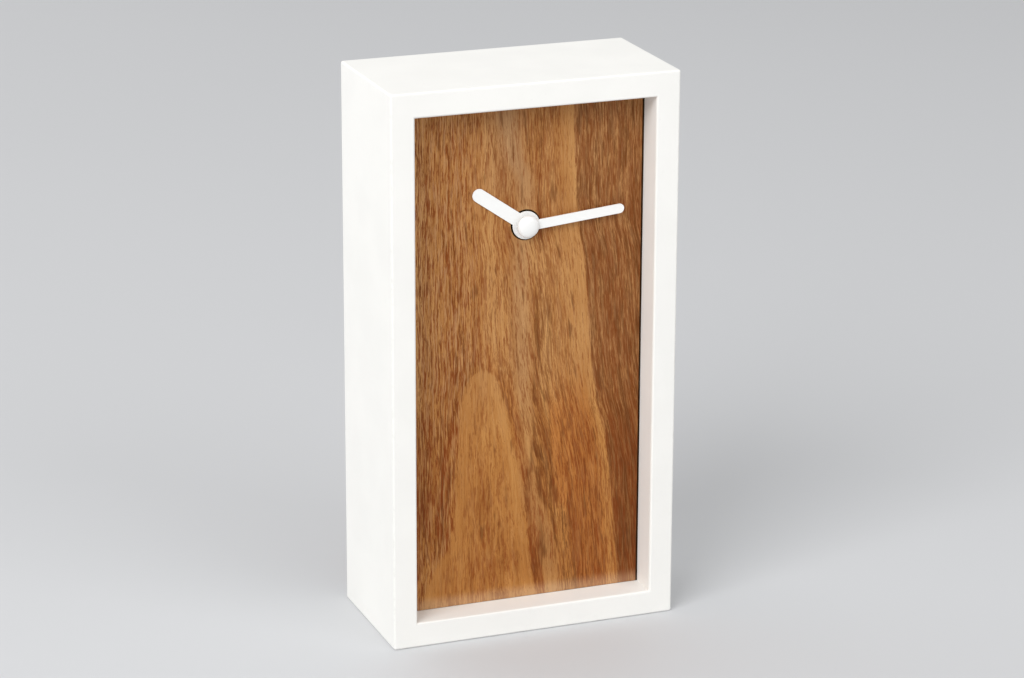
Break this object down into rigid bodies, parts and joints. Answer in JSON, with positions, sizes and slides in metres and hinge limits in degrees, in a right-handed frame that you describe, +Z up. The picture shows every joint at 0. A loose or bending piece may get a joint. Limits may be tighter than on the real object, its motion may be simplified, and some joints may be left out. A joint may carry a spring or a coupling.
{
  "type": "wooden desk clock",
  "caption": "Tall wooden box desk clock: white mitred case, recessed walnut dial, plain white hands and a battery quartz movement at the open back.",
  "frame": {"origin": "centre of the case's base, on the surface it stands on", "axes": "+Z up, -Y towards the viewer of the dial, +X to the viewer's right"},
  "size_m": [0.1054, 0.053, 0.2],
  "materials": {
    "white_paint": "satin white paint on wood",
    "walnut": "oiled walnut with upright grain",
    "hand_enamel": "satin white enamel",
    "black_plastic": "fine matt moulded",
    "white_nylon": "natural moulded gear plastic",
    "brass": "bright stamped or turned",
    "steel": "plated",
    "rubber": "matt",
    "copper": "enamelled copper wire",
    "magnet": "sintered magnet",
    "circuit_board": "green lacquered laminate",
    "epoxy": "glossy potting drop",
    "battery_sleeve": "plain dark sleeve"
  },
  "bodies": {
    "case": {"case_bottom_board": "white_paint", "case_left_board": "white_paint", "case_right_board": "white_paint", "case_top_board": "white_paint", "dial_panel": "walnut", "movement_front_plate": "black_plastic", "movement_rear_cover": "black_plastic", "train_bridge": "white_nylon", "rubber_gasket": "rubber", "mounting_washer": "steel", "mounting_nut": "brass", "stator_plate": "steel", "coil_core": "steel", "coil_bobbin": "black_plastic", "coil_winding": "copper", "circuit_board": "circuit_board", "timing_chip": "epoxy", "quartz_crystal": "steel", "positive_contact": "brass", "negative_contact": "brass"},
    "minute_arbor": {"minute_hand": "hand_enamel", "minute_pipe": "white_nylon", "centre_cap": "hand_enamel"},
    "hour_arbor": {"hour_hand": "hand_enamel", "hour_wheel": "white_nylon"},
    "motion": {"motion_wheel": "white_nylon"},
    "setting": {"setting_knob": "black_plastic", "setting_pinion": "white_nylon"},
    "intermediate": {"intermediate_wheel": "white_nylon"},
    "rotor": {"rotor_pinion": "white_nylon", "rotor_magnet": "magnet"},
    "second": {"second_wheel": "white_nylon"},
    "third": {"third_wheel": "white_nylon"},
    "centre": {"centre_wheel": "white_nylon"},
    "battery_cell": {"battery": "battery_sleeve"}
  },
  "joints": [
    {"name": "minute_turn", "type": "hinge", "parent": "case", "child": "minute_arbor", "pos_m": [0, -0.0083, 0.147], "axis": [0, 1, 0], "continuous": true},
    {"name": "hour_turn", "type": "hinge", "parent": "case", "child": "hour_arbor", "pos_m": [0, -0.0083, 0.147], "axis": [0, 1, 0], "continuous": true},
    {"name": "motion_turn", "type": "hinge", "parent": "case", "child": "motion", "pos_m": [0.00789, -0.0083, 0.14987], "axis": [0, 1, 0], "continuous": true},
    {"name": "knob_turn", "type": "hinge", "parent": "case", "child": "setting", "pos_m": [0.01579, -0.0083, 0.15275], "axis": [0, 1, 0], "continuous": true},
    {"name": "intermediate_turn", "type": "hinge", "parent": "case", "child": "intermediate", "pos_m": [-0.00194, -0.0083, 0.15803], "axis": [0, 1, 0], "continuous": true},
    {"name": "rotor_turn", "type": "hinge", "parent": "case", "child": "rotor", "pos_m": [-0.00838, -0.0083, 0.16343], "axis": [0, 1, 0], "continuous": true},
    {"name": "second_turn", "type": "hinge", "parent": "case", "child": "second", "pos_m": [0, -0.0083, 0.147], "axis": [0, 1, 0], "continuous": true},
    {"name": "third_turn", "type": "hinge", "parent": "case", "child": "third", "pos_m": [-0.01076, -0.0083, 0.14794], "axis": [0, 1, 0], "continuous": true},
    {"name": "centre_turn", "type": "hinge", "parent": "case", "child": "centre", "pos_m": [0, -0.0083, 0.147], "axis": [0, 1, 0], "continuous": true},
    {"name": "battery_slide", "type": "slide", "parent": "case", "child": "battery_cell", "axis": [0, 1, 0], "range_m": [0, 0.02]}
  ],
  "couplings": [
    {"joint": "hour_turn", "follows": "minute_turn", "ratio": 0.083333},
    {"joint": "motion_turn", "follows": "minute_turn", "ratio": -0.33333},
    {"joint": "knob_turn", "follows": "minute_turn", "ratio": 1},
    {"joint": "rotor_turn", "follows": "intermediate_turn", "ratio": -5},
    {"joint": "second_turn", "follows": "intermediate_turn", "ratio": -0.16667},
    {"joint": "third_turn", "follows": "intermediate_turn", "ratio": 0.022222},
    {"joint": "centre_turn", "follows": "intermediate_turn", "ratio": -0.0027778}
  ]
}
